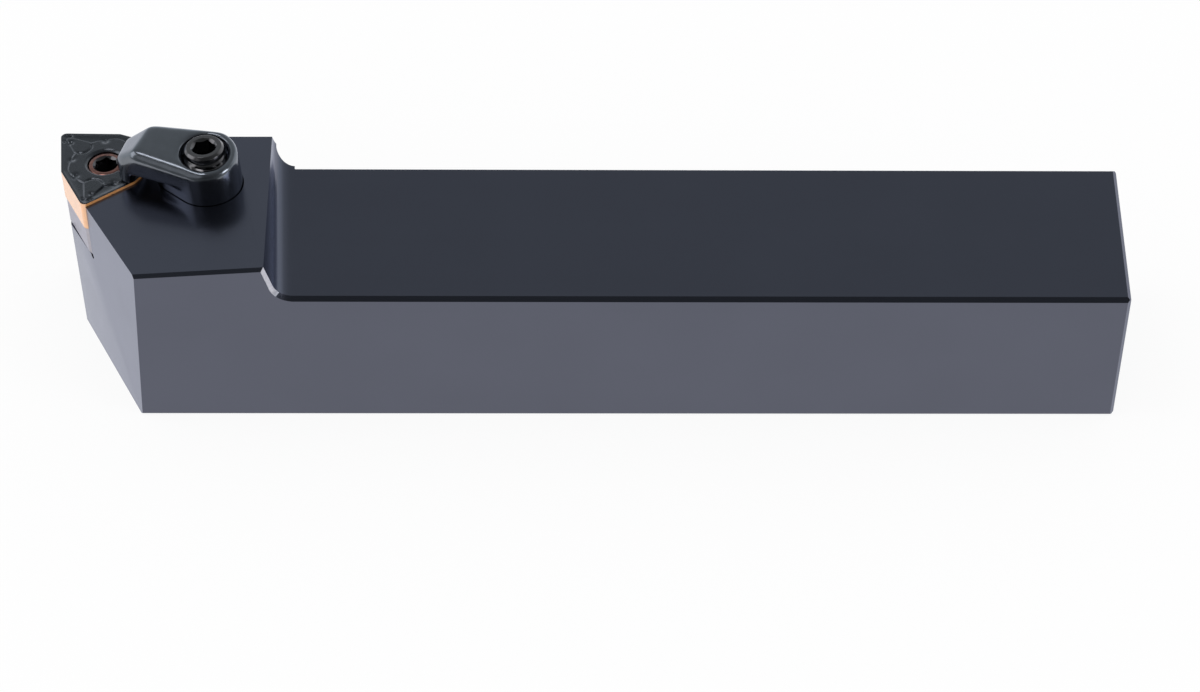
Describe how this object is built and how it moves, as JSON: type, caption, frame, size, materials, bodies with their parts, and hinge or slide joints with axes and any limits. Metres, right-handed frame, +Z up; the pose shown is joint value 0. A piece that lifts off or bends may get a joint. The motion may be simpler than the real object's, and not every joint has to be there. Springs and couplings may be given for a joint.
{
  "type": "turning tool holder",
  "caption": "Left hand external turning tool holder: square shank, trigon insert on a shim, held by a threaded pin and a screw-drawn finger clamp.",
  "frame": {"origin": "middle of the base, under the middle of the whole part's box", "axes": "+X from the cutting tip to the tail of the shank, +Y from the near side of the shank towards the cutting tip's side, +Z up from the base"},
  "size_m": [0.1524, 0.0318, 0.0358],
  "materials": {
    "holder_steel": "ground steel with a dark blue grey oxide finish",
    "shim_metal": "ground bare hard metal, grey with a warm tint",
    "insert_coating": "dark coated face with pale gold flanks",
    "pin_steel": "heat treated steel with a brown tint",
    "clamp_steel": "forged steel, glossy black oxide",
    "screw_steel": "turned steel, glossy black oxide"
  },
  "bodies": {
    "holder": {"holder": "holder_steel", "shim": "shim_metal", "insert": "insert_coating", "centre_pin": "pin_steel"},
    "clamp_screw": {"clamp_screw": "screw_steel"},
    "clamp": {"clamp": "clamp_steel"}
  },
  "joints": [
    {"name": "clamp_screw_turn", "type": "hinge", "parent": "holder", "child": "clamp_screw", "pos_m": [-0.05441, 0.00318, 0.02885], "axis": [-0.0847, 0.1288, 0.988], "range_deg": [0, 900]},
    {"name": "clamp_lift", "type": "slide", "parent": "holder", "child": "clamp", "axis": [-0.0847, 0.1288, 0.988], "range_m": [0, 0.005]}
  ],
  "couplings": [
    {"joint": "clamp_screw_turn", "follows": "clamp_lift", "rad_per_m": 3141.6}
  ]
}
